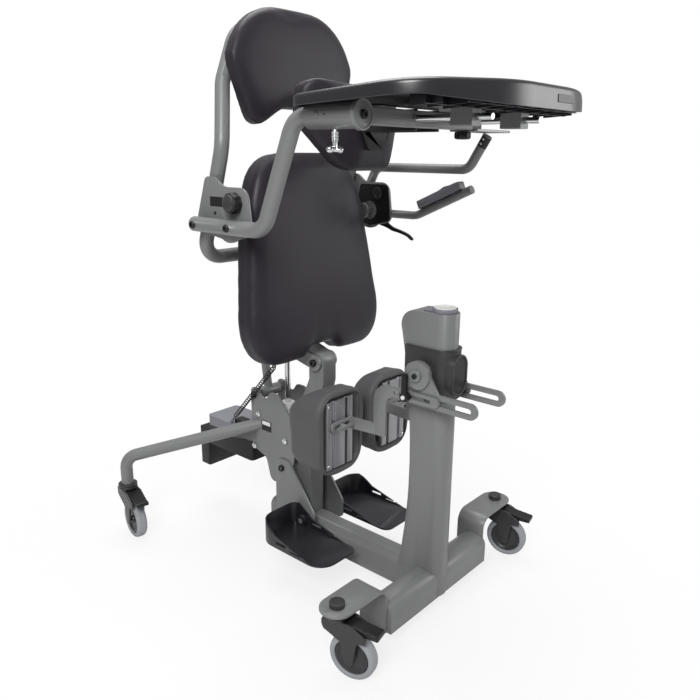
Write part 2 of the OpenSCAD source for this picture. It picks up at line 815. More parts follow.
// Seat
seat_behind = 16;
seat_mid_y = seat_pivot_y + seat_behind;
seat_low_in = 16;
seat_half_low = seat_half - seat_low_in;
seat_top_in = 42;
seat_wide_share = 0.2;
seat_narrow_share = 0.73;
notch_round = 20;
lobe_round = 24;
seat_low_round = 78;
seat_side_round = 150;
seat_flank_round = 250;
seat_top_round = 100;
notch_half = 36;
notch_rise = 24;
lobe_x = 66;
pan_t = 6;
pan_w = 220;
pan_low_share = 0.1;
pan_high_share = 0.92;
rail_t = 8;
rail_h = 26;
rail_in = 1;
cheek_x = column_w / 2 + gap;
seat_tube_d = 26;
seat_tube_behind = 58;
seat_tube_y = back_pivot_y + seat_tube_behind;
seat_lug_in = 18;
seat_lug_x = loop_x - seat_lug_in;
seat_lug_t = 6;
seat_lug_r = 20;
seat_lug_end_r = 15;
seat_stud_d = 14;
lug_side_share = 0.9;
// The seat's own plane: X across, Y up along the pad, Z towards the user
module on_seat() {
    translate([0, seat_mid_y, seat_bottom_z]) rotate([90 - seat_tilt, 0, 0]) children();
}
seat_corners = [
    [notch_half, notch_rise, notch_round], [lobe_x, 0, lobe_round], [seat_half_low, 0, seat_low_round],
    [seat_half, seat_len * seat_wide_share, seat_side_round],
    [seat_half_top, seat_len * seat_narrow_share, seat_flank_round],
    [seat_half_top - seat_top_in, seat_len, seat_top_round]
];
module seat_pad() {
    mid = seat_len / 2;
    outline = [for (p = rounded(mirrored(seat_corners), 4)) p - [0, mid]];
    color(pad_grey) on_seat() translate([0, mid, 0]) cushion(outline, seat_thick);
}
module seat_frame() {
    back = -seat_thick / 2 - gap;
    low = seat_len * pan_low_share;
    high = seat_len * pan_high_share;
    color(frame_grey) {
        on_seat() translate([-pan_w / 2, low, back - pan_t]) cube([pan_w, high - low, pan_t]);
        on_seat() for (s = [0, 1]) mirror([s, 0, 0])
            translate([cheek_x + rail_in, low, back - pan_t - rail_h])
            cube([rail_t - 2 * rail_in, high - low, rail_h + over]);
        both_sides() side_plate(cheek_x, rail_t) {
            translate([seat_pivot_y, seat_pivot_z]) circle(seat_lug_r);
            polygon([
                [seat_pivot_y, seat_pivot_z - seat_lug_r * lug_side_share],
                [cord_end[1], cord_end[2] + gland_d],
                [cord_end[1], cord_end[2] + 3 * gland_d], [act_y - act_d, seat_pivot_z + 2 * seat_lug_r],
                [act_y - act_d, act_eye_z],
                [seat_mid_y + seat_thick / 2 + 3 * gap + pan_t + over, act_eye_z],
                [seat_mid_y + seat_thick / 2 + 3 * gap + pan_t, seat_bottom_z + notch_rise],
                [seat_pivot_y, seat_pivot_z + seat_lug_r * lug_side_share]
            ]);
        }
        pin_x(-cheek_x - rail_t / 2, seat_pivot_y, seat_pivot_z, seat_pin_d, 2 * cheek_x + rail_t);
        bar(cord_end, cord_end + gland_len * cord_axis, gland_d);
        translate([cord_end[0] - gland_d / 2, cord_end[1] - 2 * gland_d, cord_end[2] + gland_d])
            cube([-cheek_x - cord_end[0] + gland_d / 2 - gap, gland_d, 2 * gland_d]);
        pin_x(-seat_lug_x - seat_lug_t / 2, seat_tube_y, back_pivot_z, seat_tube_d,
            2 * seat_lug_x + seat_lug_t);
        both_sides() {
            side_plate(seat_lug_x, seat_lug_t) {
                translate([back_pivot_y, back_pivot_z]) circle(seat_lug_r);
                translate([back_pivot_y, back_pivot_z - seat_lug_end_r])
                    square([seat_tube_y - back_pivot_y, 2 * seat_lug_end_r]);
                translate([seat_tube_y, back_pivot_z]) circle(seat_lug_end_r);
            }
            pin_x(seat_lug_x + seat_lug_t / 2, back_pivot_y, back_pivot_z, seat_stud_d,
                bracket_x + bracket_t - gap - seat_lug_x - seat_lug_t / 2);
            side_plate(lug_gap, lug_t) {
                translate([act_y, act_eye_z]) circle(d = act_eye_d);
                translate([seat_mid_y + seat_thick / 2 + rail_h / 2, act_eye_z - act_eye_d])
                    square([act_y - seat_mid_y - seat_thick / 2 - rail_h / 2, 2 * act_eye_d]);
            }
        }
    }
}

// Back loop, brackets and upper back
bracket_bite = 2;
bracket_x = loop_x + tube_d / 2 - bracket_bite;
bracket_t = 6;
loop_bend = 48;
loop_top_drop = 55;
loop_low_drop = 91;
loop_top_z = back_kink_z - loop_top_drop;
loop_low_z = back_pivot_z - loop_low_drop;
spigot_d = 26;
spigot_len = 44;
loop_dir = [0, -sin(loop_lean), cos(loop_lean)];
function loop_y(z) = back_tube_y + (back_kink_z - z) * tan(loop_lean);
loop_lug_r = 16;
module loop_tube() {
    low_y = loop_y(loop_low_z);
    bent_tube([
        [-loop_x, loop_y(loop_top_z), loop_top_z], [-loop_x, low_y, loop_low_z],
        [loop_x, low_y, loop_low_z], [loop_x, loop_y(loop_top_z), loop_top_z]
    ], tube_d, loop_bend);
}
module back_loop() {
    low_y = loop_y(loop_low_z);
    color(frame_grey) {
        loop_tube();
        for (s = [-1, 1]) let (top = [s * loop_x, loop_y(loop_top_z), loop_top_z])
            bar(top - over * loop_dir, top + spigot_len * loop_dir, spigot_d);
        both_sides() side_plate(lug_gap, lug_t) {
            translate(link_top) circle(loop_lug_r);
            polygon([
                [low_y, loop_low_z + loop_lug_r / 2], [low_y, loop_low_z - loop_lug_r / 2],
                [link_top[0] - loop_lug_r / 3, link_top[1] - loop_lug_r * lug_side_share],
                [link_top[0] + loop_lug_r / 3, link_top[1] + loop_lug_r * lug_side_share]
            ]);
        }
        pin_x(-lug_gap - lug_t, link_top[0], link_top[1], link_top_pin_d, 2 * (lug_gap + lug_t));
    }
}
bracket_r = 45;
bracket_rise = 90;
bracket_dip_rise = 70;
bracket_ahead = 72;
bracket_behind = 105;
bracket_step = 4;
bracket_nose = 12;
bracket_round = 20;
bracket_top = back_pivot_z + bracket_rise;
bracket_dip = back_pivot_z + bracket_dip_rise;
bracket_front_y = back_pivot_y - bracket_ahead;
bracket_rear_y = back_pivot_y + bracket_behind;
module arm_brackets() {
    outer = bracket_x + bracket_t;
    color(frame_grey) both_sides() {
        difference() {
            side_plate(bracket_x, bracket_t) {
                polygon(rounded([
                    [bracket_rear_y, back_pivot_z + bracket_step, bracket_round / 2],
                    [loop_y(bracket_top) + tube_d / 2, bracket_top, 2 * bracket_round / 3],
                    [loop_y(bracket_top) - tube_d / 2, bracket_top, bracket_round],
                    [back_pivot_y + bracket_r / 3, bracket_dip, 3 * bracket_round / 2],
                    [bracket_front_y + bracket_nose, bracket_dip, 4 * bracket_round / 3],
                    [bracket_front_y, arm_z - tube_d / 2, bracket_round],
                    [back_pivot_y, arm_z - tube_d, 2 * bracket_round],
                    [bracket_rear_y, arm_z - tube_d / 2, bracket_round / 2]
                ]));
                translate([back_pivot_y, back_pivot_z]) circle(bracket_r);
            }
            pin_x(bracket_x - over, back_pivot_y, back_pivot_z, seat_stud_d + 2 * fit,
                bracket_t + 2 * over);
            loop_tube();
        }
        pin_x(outer, knob_y, knob_z, knob_stud_d, knob_h - over);
    }
    color(frame_grey) pin_x(outer, lever_y, lever_z, lever_pin_d, lever_t + 2 * gap + lever_pin_d);
}
back_frame_bend = 70;
back_arch_x = 122;
back_arch_v = 88;
back_shoulder_x = 176;
back_shoulder_v = -30;
clip_w = 44;
clip_h = 16;
back_mid = (back_low + back_top) / 2;
back_pad_y = 116;
back_rear = back_thick / 2 + gap;
tube_behind = back_rear + tube_d / 2;
// A point on the plane of the back tube: across, and up along the pad from its middle
function on_back_tube(x, v) = [
    x, back_pad_y + v * sin(back_lean) + tube_behind * cos(back_lean),
    back_mid + v * cos(back_lean) - tube_behind * sin(back_lean)
];
// The back pad's own plane: X across, Y up along the pad, Z towards the user
module on_back() {
    translate([0, back_pad_y, back_mid]) rotate([90 - back_lean, 0, 0]) children();
}
module back_frame() {
    low = [loop_x, loop_y(loop_top_z), loop_top_z] + gap * loop_dir;
    kink = [loop_x, back_tube_y, back_kink_z];
    half = [low, kink, on_back_tube(back_shoulder_x, back_shoulder_v),
        on_back_tube(back_arch_x, back_arch_v)];
    flip = function (p) [-p[0], p[1], p[2]];
    color(frame_grey) difference() {
        union() {
            bent_tube(concat(half, [for (i = [len(half) - 1:-1:0]) flip(half[i])]), tube_d,
                back_frame_bend);
            on_back() for (s = [0, 1]) mirror([s, 0, 0])
                translate([back_shoulder_x - clip_w - tube_d / 2, 0, -tube_behind])
                cube([clip_w, 2 * clip_h, tube_behind - back_rear]);
        }
        for (p = [low, flip(low)])
            bar(p - over * loop_dir, p + (spigot_len + gap) * loop_dir, spigot_d + 2 * fit);
    }
}
back_half = back_w / 2;
back_arch_rise = 44;
back_wide_rise = 14;
back_arch_share = 0.25;
back_low_share = 0.76;
back_wide_share = 1.005;
back_top_share = 0.84;
back_arch_round = 60;
back_low_round = 30;
back_side_round = 70;
back_top_round = 150;
back_corners = [
    [back_half * back_arch_share, back_low + back_arch_rise, back_arch_round],
    [back_half * back_low_share, back_low, back_low_round],
    [back_half * back_wide_share, back_mid + back_wide_rise, back_side_round],
    [back_half * back_top_share, back_top, back_top_round]
];
module back_pad() {
    outline = [for (p = rounded(mirrored(back_corners), 5)) p - [0, back_mid]];
    color(pad_grey) on_back() cushion(outline, back_thick);
}
knob_ahead = 26;
knob_rise = 39;
knob_y = back_pivot_y - knob_ahead;
knob_z = back_pivot_z + knob_rise;
knob_d = 44;
knob_h = 22;
knob_stud_d = 8;
knob_dome_d = 30;
knob_dome_h = 5;
module arm_knob(side) {
    color(black) scale_x(side) difference() {
        union() {
            pin_x(bracket_x + bracket_t + gap, knob_y, knob_z, knob_d, knob_h);
            pin_x(bracket_x + bracket_t + gap, knob_y, knob_z, knob_dome_d, knob_h + knob_dome_h);
        }
        pin_x(bracket_x, knob_y, knob_z, knob_stud_d + 2 * fit, bracket_t + knob_h);
    }
}

// Arms
arm_x = bracket_x + bracket_t + tube_d / 2;
arm_bend = 46;
sleeve_set = 40;
sleeve_rear_y = arm_high_y - sleeve_set;
sleeve_end_t = 8;
carrier_set = 25;
carrier_y = sleeve_front_y + carrier_set;
arm_tip_y = sleeve_front_y + sleeve_end_t + 2 * over;
module tray_arm() {
    color(frame_grey) {
        bent_tube([
            [-arm_x, arm_rear_y, arm_z], [-arm_x, arm_low_y, arm_z],
            [-arm_x, arm_high_y, arm_top_z], [-arm_x, arm_tip_y, arm_top_z]
        ], tube_d, arm_bend);
        for (y = [arm_rear_y - tube_d / 2, back_pivot_y - tube_d])
            pin_x(-arm_x - tube_d / 2 - bolt_h / 2, y, arm_z, bolt_d, tube_d + bolt_h / 2);
    }
}
rest_x = bracket_x + bracket_t + rest_d / 2;
rest_ahead = 8;
rest_run = 45;
rest_short = 24;
rest_drop = 23;
rest_rear_y = back_pivot_y - rest_ahead;
rest_tip_y = carrier_y + rest_short;
rest_tip_z = arm_top_z - rest_drop;
rest_bend_y = rest_tip_y + rest_run;
rest_rise = rest_d / 2 * rest_run / norm([rest_run, rest_tip_z - rest_z]);
rest_bend = 30;
rest_behind = 36;
rest_foot_rise = 23;
rest_foot_y = back_pivot_y + rest_behind;
rest_foot_z = back_pivot_z + rest_foot_rise;
rest_bolt_d = 12;
rest_bolt_shares = [0.2, 0.5];
module rest_arm() {
    foot = [rest_x, rest_foot_y, rest_foot_z];
    color(frame_grey) {
        bent_tube([
            foot, [rest_x, rest_rear_y, rest_z], [rest_x, rest_bend_y, rest_z],
                [rest_x, rest_tip_y, rest_tip_z]
        ], rest_d, rest_bend);
        for (k = rest_bolt_shares) let (p = foot + k * ([rest_x, rest_rear_y, rest_z] - foot))
            pin_x(rest_x - rest_d / 2, p[1], p[2], rest_bolt_d, rest_d + bolt_h / 2);
    }
}
handle_x = bracket_x + bracket_t + handle_d / 2;
handle_ahead = 30;
handle_run = 65;
handle_reach = 155;
handle_rear_y = back_pivot_y - handle_ahead;
handle_bend_y = bracket_front_y - handle_run;
handle_tip_y = handle_bend_y - handle_reach;
handle_bend = 50;
module side_handle() {
    color(frame_grey) {
        bent_tube([
            [handle_x, handle_rear_y, handle_z], [handle_x, handle_bend_y, handle_z],
            [handle_x, handle_tip_y, handle_z + (handle_bend_y - handle_tip_y) * tan(handle_rise)]
        ], handle_d, handle_bend);
        for (y = [bracket_front_y + rest_bolt_d, handle_rear_y - rest_bolt_d])
            pin_x(handle_x - handle_d / 2, y, handle_z, rest_bolt_d, handle_d + bolt_h / 2);
    }
}
pendant_w = 36;
pendant_len = 128;
pendant_h = 18;
pendant_start = 20;
rocker_w = 20;
rocker_len = 34;
rocker_h = 5;
rocker_pin_d = 4;
// The pendant's own frame on the handle's rising run: Y back along the run, Z away from the tube
module on_pendant() {
    translate([handle_x, handle_bend_y, handle_z]) rotate([-handle_rise, 0, 0])
        translate([0, -pendant_start - pendant_len, handle_d / 2]) children();
}
module pendant() {
    color(dark_grey) on_pendant() difference() {
        box_solid(pendant_w, pendant_len, pendant_h, box_round);
        translate([-rocker_w / 2 - gap, pendant_len / 3 - rocker_len / 2 - gap, pendant_h - rocker_h])
            cube([rocker_w + 2 * gap, rocker_len + 2 * gap, rocker_h + over]);
    }
    color(dark_grey) on_pendant()
        translate([-rocker_w / 2 - over, pendant_len / 3, pendant_h - rocker_pin_d / 2])
        rotate([0, 90, 0]) cylinder(d = rocker_pin_d, h = rocker_w + 2 * over);
}
module pendant_rocker() {
    rise = rocker_h - 2 * gap;
    color(black) on_pendant() translate([0, pendant_len / 3, pendant_h]) difference() {
        side_plate(-rocker_w / 2, rocker_w) polygon([
            [-rocker_len / 2, over / 2], [-rocker_len / 2, over], [0, rise], [rocker_len / 2, over],
            [rocker_len / 2, over / 2], [rocker_pin_d, -rise], [-rocker_pin_d, -rise]
        ]);
        translate([-rocker_w, 0, -rocker_pin_d / 2]) rotate([0, 90, 0])
            cylinder(d = rocker_pin_d + 2 * fit, h = 2 * rocker_w);
    }
}
lever_ahead = 34;
lever_below = 29;
lever_y = back_pivot_y - lever_ahead;
lever_z = back_pivot_z - lever_below;
lever_side_share = 0.45;
lever_pin_d = 6;
lever_t = 9;
lever_len = 92;
lever_drop = 31;
lever_end_d = 14;
lever_root_d = 18;
module release_lever() {
    end_y = lever_y - lever_len - lever_end_d / 2;
    end_z = lever_z - lever_drop;
    root_y = lever_y + lever_root_d / 2;
    root = lever_root_d * lever_side_share;
    end = lever_end_d * lever_side_share;
    color(black) difference() {
        side_plate(bracket_x + bracket_t + gap, lever_t) polygon(rounded([
            [root_y, lever_z + lever_root_d / 2, root], [root_y, lever_z - lever_root_d / 2, root],
            [end_y, end_z - lever_end_d / 2, end], [end_y, end_z + lever_end_d / 2, end]
        ]));
        pin_x(bracket_x, lever_y, lever_z, lever_pin_d + 2 * fit, bracket_t + 2 * lever_t);
    }
}

// Tray and chest pad
carrier_d = 30;
carrier_end_x = 150;
rod_d = 12;
rod_x = 86;
rod_len = 180;
rod_front_y = carrier_y - rod_len;
rail_plate_w = 44;
rail_plate_t = 5;
sleeve_cap_lip = 3;
sleeve_cap_t = 6;
module tray_sleeve() {
    color(frame_grey) translate([-arm_x, 0, arm_top_z]) rotate([90, 0, 0]) difference() {
        translate([0, 0, -sleeve_rear_y]) cylinder(d = sleeve_d, h = sleeve_rear_y - sleeve_front_y);
        translate([0, 0, -sleeve_rear_y - over])
            cylinder(d = tube_d + 2 * fit, h = sleeve_rear_y - sleeve_front_y - sleeve_end_t + over);
        translate([0, 0, -pull_y]) rotate([90, 0, 0]) cylinder(d = pull_d + 2 * fit, h = sleeve_d);
    }
    color(frame_grey) translate([-arm_x, sleeve_front_y, arm_top_z]) rotate([90, 0, 0])
        translate([0, 0, -over]) cylinder(d = sleeve_d + 2 * sleeve_cap_lip, h = sleeve_cap_t + over);
}
module tray_carrier() {
    color(frame_grey) {
        difference() {
            translate([-arm_x, carrier_y - carrier_d / 2, arm_top_z - carrier_d / 2])
                cube([arm_x + carrier_end_x, carrier_d, carrier_d]);
            translate([-arm_x, 0, arm_top_z]) rotate([90, 0, 0])
                cylinder(d = sleeve_d, h = -sleeve_front_y + carrier_d);
        }
        for (x = [-rod_x, rod_x]) translate([x, carrier_y, arm_top_z]) rotate([90, 0, 0])
            cylinder(d = rod_d, h = carrier_y - rod_front_y);
        translate([carrier_end_x - carrier_d, carrier_y - rail_plate_w / 2, rest_tip_z + rest_rise + gap])
            cube([rest_x + rest_d - carrier_end_x + carrier_d, rail_plate_w / 2 + rest_short + rest_d,
                rail_plate_t]);
        translate([tray_knob_x - knob_boss_d / 2, carrier_y - knob_boss_d / 2,
            arm_top_z - carrier_d / 2 - over])
            cube([knob_boss_d, knob_boss_d, carrier_d / 2]);
        translate([tray_knob_x, carrier_y, tray_knob_z])
            cylinder(d = knob_stud_d, h = arm_top_z - tray_knob_z);
    }
}
knob_boss_d = 24;
tray_knob_x = 104;
tray_knob_d = 34;
tray_knob_h = 16;
tray_knob_z = arm_top_z - carrier_d / 2 + over - gap - tray_knob_h;
module tray_knob() {
    top = arm_top_z - carrier_d / 2 - over - gap;
    color(black) difference() {
        translate([tray_knob_x, carrier_y, top - tray_knob_h]) cylinder(d = tray_knob_d, h = tray_knob_h);
        translate([tray_knob_x, carrier_y, top - tray_knob_h + over])
            cylinder(d = knob_stud_d + 2 * fit, h = tray_knob_h);
    }
}
pull_y = (sleeve_rear_y + sleeve_front_y) / 2;
pull_d = 9;
pull_len = 40;
pull_t_len = 26;
module pull_pin() {
    top = arm_top_z - tube_d / 2 - gap;
    color(bright) {
        translate([-arm_x, pull_y, top - pull_len]) cylinder(d = pull_d, h = pull_len);
        translate([-arm_x - pull_t_len / 2, pull_y, top - pull_len]) rotate([0, 90, 0])
            cylinder(d = pull_d, h = pull_t_len);
    }
}
cutout_half = 130;
cutout_deep = 40;
tray_corner = 100;
tray_rear_round = 24;
tray_nose_share = 0.38;
tray_nose_round = 240;
tray_side_share = 0.23;
tray_rib_t = 3;
tray_rib_h = 12;
tray_rib_step = 46;
tray_lip = 5;
tray_rear_cut = 13;
tray_slide = 32;
block_w = 30;
block_len = 44;
block_set = 32;
block_y = rod_front_y + block_set;
tray_top_z = arm_top_z + tray_rise;
block_top = tray_top_z + (tray_rear_y - block_y - block_len / 2) * tan(tray_tilt) - tray_lip - tray_wall / 2;
module tray_outline(inset) {
    half = tray_w / 2 - inset;
    deep = tray_rear_y - tray_front_y;
    polygon(rounded(mirrored([
        [half * tray_nose_share, -deep + inset, tray_nose_round],
            [half, -deep * (1 - tray_side_share) + inset, tray_corner - inset],
        [half, -inset, tray_rear_round - inset], [cutout_half + inset, -inset, tray_rear_round],
        [cutout_half - cutout_deep + inset, -cutout_deep - inset, tray_rear_round]
    ])));
}
module on_tray() {
    translate([0, tray_rear_y, tray_top_z]) rotate([-tray_tilt, 0, 0]) children();
}
module tray() {
    deep = tray_rear_y - tray_front_y;
    color(black) difference() {
        union() {
            on_tray() difference() {
                translate([0, 0, -skirt_front]) linear_extrude(skirt_front) tray_outline(0);
                translate([0, 0, -skirt_front - tray_wall - tray_lip]) linear_extrude(skirt_front)
                    tray_outline(tray_wall);
                translate([0, 0, -tray_lip]) linear_extrude(tray_lip + over) tray_outline(3 * tray_wall);
                side_plate(-tray_w, 2 * tray_w) polygon([
                    [over, -skirt_rear], [-deep * (1 - tray_side_share), -skirt_rear - tray_lip],
                        [-deep - over, -skirt_front],
                    [-deep - over, -2 * skirt_front], [over, -2 * skirt_front]
                ]);
                translate([-tray_w / 2 + tray_rear_round + tray_wall, -cutout_deep - 4 * tray_wall,
                    -2 * skirt_front])
                    cube([tray_w - 2 * (tray_rear_round + tray_wall), deep / 4,
                        2 * skirt_front - tray_rear_cut]);
            }
            on_tray() translate([0, 0, -tray_lip - tray_wall - tray_rib_h]) intersection() {
                linear_extrude(tray_rib_h + over) tray_outline(tray_wall / 2);
                translate([0, -deep, 0]) tray_ribs(deep * (1 - tray_side_share) / 2);
            }
            for (x = [-rod_x, rod_x]) translate([x - block_w / 2, block_y, arm_top_z - block_w / 2])
                cube([block_w, block_len, block_top - arm_top_z + block_w / 2]);
        }
        for (x = [-rod_x, rod_x]) translate([x, carrier_y, arm_top_z]) rotate([90, 0, 0])
            cylinder(d = rod_d + 2 * fit, h = carrier_y - rod_front_y + 3 * over);
        translate([-arm_x, tray_rear_y + tray_slide, arm_top_z]) rotate([90, 0, 0])
            cylinder(d = sleeve_d + tray_wall, h = tray_rear_y - sleeve_front_y + 2 * tray_slide);
    }
}
module tray_ribs(run) {
    count = floor(tray_w / 2 / tray_rib_step);
    for (k = [-count:count]) translate([k * tray_rib_step - tray_rib_t / 2, 0, 0])
        cube([tray_rib_t, run, tray_rib_h + over]);
    for (k = [1:floor(run / tray_rib_step)]) translate([-tray_w / 2, k * tray_rib_step, 0])
        cube([tray_w, tray_rib_t, tray_rib_h + over]);
}
chest_reach = 77;
chest_drop = 11;
chest_y = tray_rear_y + chest_reach;
chest_mid_z = arm_top_z - chest_drop;
chest_low_share = 0.5;
chest_side_share = 0.1;
chest_sag = 56;
chest_round = 60;
chest_bar_w = 40;
chest_bar_t = 8;
chest_plate_w = 110;
chest_plate_h = 90;
module chest_pad() {
    w = chest_w / 2;
    h = chest_h / 2;
    outline = rounded(mirrored([
        [w * chest_low_share, -h, chest_round], [w, h * chest_side_share, chest_round],
        [w, h, chest_round / 2]
    ]), 5);
    color(black) translate([0, chest_y, chest_mid_z]) rotate([90, 0, 180])
        cushion(outline, chest_thick, function (p) [p[0], p[1], p[2] + chest_sag * p[0] * p[0] / w / w]);
}
module chest_bracket() {
    front = chest_y - chest_thick / 2 - gap;
    color(black) {
        translate([0, front, chest_mid_z]) rotate([90, 0, 0]) linear_extrude(chest_bar_t)
            polygon(rounded(mirrored([
                [chest_plate_w / 5, -chest_plate_h / 2, chest_bar_t],
                [chest_plate_w / 2, chest_plate_h / 6, chest_bar_t],
                [chest_plate_w / 2, chest_plate_h / 2, chest_bar_t]
            ])));
        for (s = [-1, 1]) translate([s * chest_plate_w / 3 - chest_bar_t / 2, carrier_y + carrier_d / 2,
            arm_top_z - chest_bar_w / 2])
            cube([chest_bar_t, front - carrier_y - carrier_d / 2, chest_bar_w]);
    }
}

// Knee support
collar_t = 6;
collar_drop = 54;
collar_low = knee_z - collar_drop;
collar_h = 107;
collar_rear_y = -246;
dial_w = 56;
dial_h = 88;
dial_t = 5;
dial_deep = 12;
knee_boss_d = 44;
knee_boss_x = 50;
knee_pin_d = 16;
knee_plate_t = 6;
knee_disc_t = 8;
knee_head_d = 24;
knee_head_t = 5;
module knee_collar() {
    half = mast_w / 2 + gap;
    front = mast_front_y - gap;
    color(dark_grey) {
        difference() {
            union() {
                translate([0, collar_rear_y, collar_low]) rotate([0, 0, 180]) linear_extrude(collar_h)
                    section(2 * (half + collar_t), collar_rear_y - front + collar_t, mast_round + collar_t);
                translate([0, front + dial_deep, collar_low + collar_h / 2]) rotate([90, 0, 0])
                    linear_extrude(dial_deep + collar_t + dial_t) {
                    square([dial_w, dial_h - dial_w], center = true);
                    for (s = [-1, 1]) translate([0, s * (dial_h - dial_w) / 2]) circle(d = dial_w);
                }
            }
            translate([0, collar_rear_y + over, collar_low - over]) rotate([0, 0, 180])
                linear_extrude(collar_h + 2 * over)
                section(2 * half, collar_rear_y - front + over, mast_round);
        }
        both_sides() {
            pin_x(half, knee_y, knee_z, knee_boss_d, knee_boss_x - half);
            pin_x(half, knee_y, knee_z, knee_pin_d,
                knee_boss_x + knee_plate_t + knee_disc_t + 2 * gap + knee_head_t - half);
            pin_x(knee_boss_x + knee_plate_t + knee_disc_t + 2 * gap, knee_y, knee_z, knee_head_d,
                knee_head_t);
        }
    }
}
knee_arm_x = knee_boss_x + gap;
bar_behind = 35;
bar_rear_y = knee_y + bar_behind;
bar_slot_w = 12;
bar_slot_front = 20;
bar_slot_ahead = 21;
bar_slot_rear_y = knee_y - bar_slot_ahead;
module slot(y0, y1, z, w) {
    for (y = [y0, y1]) translate([y, z]) circle(d = w);
    translate([min(y0, y1), z - w / 2]) square([abs(y1 - y0), w]);
}
module knee_arm(side) {
    color(frame_grey) scale_x(side) {
        difference() {
            union() {
                side_plate(knee_arm_x, knee_plate_t) {
                    translate([knee_y, knee_z]) circle(d = knee_disc_d);
                    polygon([
                        [knee_y - knee_disc_d / 2, knee_z], [knee_y + knee_disc_d / 2, knee_z],
                        [bar_rear_y, bar_z], [knee_y - knee_disc_d, bar_z]
                    ]);
                    slot(bar_rear_y - bar_h / 2, bar_front_y + bar_h / 2, bar_z, bar_h);
                }
                pin_x(knee_arm_x, knee_y, knee_z, knee_disc_d, knee_plate_t + knee_disc_t);
            }
            pin_x(0, knee_y, knee_z, knee_pin_d + 2 * fit, 2 * knee_boss_x);
            side_plate(0, 2 * knee_boss_x)
                slot(bar_slot_rear_y, bar_front_y + bar_slot_front, bar_z, bar_slot_w);
        }
    }
}
hook_x = knee_arm_x + knee_plate_t + gap;
hook_t = 5;
hook_ahead = 55;
hook_behind = 113;
hook_low_rise = 6;
hook_front_y = knee_y - hook_ahead;
hook_rear_y = knee_y + hook_behind;
hook_low_z = knee_mid_z + hook_low_rise;
hook_h = 24;
hook_bend_w = 34;
rail_behind = 179;
rail_y = knee_y + rail_behind;
rail_t_y = 12;
rail_w = 85;
rail_high = 160;
hook_foot_t = 5;
hook_foot_w = 64;
hook_arm_h = 26;
hook_swoop = 40;
hook_slot_w = 8;
wing_d = 12;
wing_len = 44;
wing_h = 16;
module knee_hook(side) {
    end_y = rail_y - gap - hook_foot_t;
    color(frame_grey) scale_x(side) {
        difference() {
            side_plate(hook_x, hook_t) {
                slot(hook_front_y + hook_h / 2, hook_rear_y - hook_bend_w, bar_z, hook_h);
                polygon(rounded([
                    [hook_rear_y, bar_z + hook_h / 2, hook_swoop],
                    [hook_rear_y - hook_bend_w - hook_h, bar_z + hook_h / 2, over],
                    [hook_rear_y - hook_bend_w - hook_h, bar_z - hook_h / 2, over],
                    [hook_rear_y - hook_bend_w, bar_z - hook_h / 2, hook_swoop / 2],
                    [hook_rear_y - hook_bend_w, hook_low_z, hook_h / 3], [hook_rear_y, hook_low_z, hook_h / 3]
                ]));
            }
            side_plate(0, 2 * hook_x)
                slot(hook_front_y + hook_h, hook_rear_y - hook_bend_w - hook_h, bar_z,
                knee_clamp_d + 2 * fit);
        }
        translate([0, 0, hook_low_z]) linear_extrude(hook_arm_h) polygon([
            [hook_x, hook_rear_y - hook_t], [hook_x + hook_t, hook_rear_y - hook_t],
            [knee_x - hook_foot_w / 2 + hook_foot_t, end_y + over / 2],
            [knee_x - hook_foot_w / 2, end_y + hook_foot_t - over / 2], [hook_x, hook_rear_y]
        ]);
        translate([knee_x, end_y + hook_foot_t, hook_low_z + hook_arm_h / 2]) rotate([90, 0, 0])
            linear_extrude(hook_foot_t) difference() {
            slot(-hook_foot_w / 2, (hook_foot_w - hook_arm_h) / 2, 0, hook_arm_h);
            slot(-hook_foot_w / 3, (hook_foot_w - hook_arm_h) / 2, 0, hook_slot_w);
        }
        translate([knee_x, end_y + over, hook_low_z + hook_arm_h / 2]) rotate([90, 0, 0])
            cylinder(d = wing_d, h = wing_h);
        translate([knee_x - wing_len / 2, end_y - wing_h, hook_low_z + hook_arm_h / 2 - wing_d / 4])
            cube([wing_len, wing_h - hook_foot_t, wing_d / 2]);
    }
}
knee_clamp_d = 8;
lever_clamp_behind = 23;
lever_clamp_y = knee_y + lever_clamp_behind;
clamp_x = hook_x + hook_t + gap;
clamp_hub_d = 20;
clamp_hub_t = 14;
clamp_blade = 46;
clamp_blade_w = 12;
module knee_lever(side) {
    color(black) scale_x(side) {
        pin_x(clamp_x, lever_clamp_y, bar_z, clamp_hub_d, clamp_hub_t);
        pin_x(hook_x, lever_clamp_y, bar_z, knee_clamp_d, clamp_hub_t);
        side_plate(clamp_x + clamp_hub_t / 2, clamp_hub_t / 2) {
            translate([lever_clamp_y - clamp_blade_w / 2, bar_z]) square([clamp_blade_w, clamp_blade]);
            translate([lever_clamp_y, bar_z + clamp_blade]) circle(d = clamp_blade_w);
        }
    }
}
groove_w = 9;
groove_d = 4;
module knee_rail(side) {
    color(bright) scale_x(side) {
        difference() {
            translate([knee_x - rail_w / 2, rail_y, knee_mid_z - rail_high / 2])
                cube([rail_w, rail_t_y, rail_high]);
            for (k = [-1, 1]) translate([knee_x + k * rail_w / 4 - groove_w / 2, rail_y - over,
                knee_mid_z - rail_high / 2 - over])
                cube([groove_w, groove_d + over, rail_high + 2 * over]);
        }
    }
}
knee_outer_deep = 60;
knee_inner_deep = 16;
knee_corner = 56;
knee_pad_in = 8;
knee_back_side = 9.5;
knee_back_end = 8;
knee_back_round = 28;
knee_low_share = 0.92;
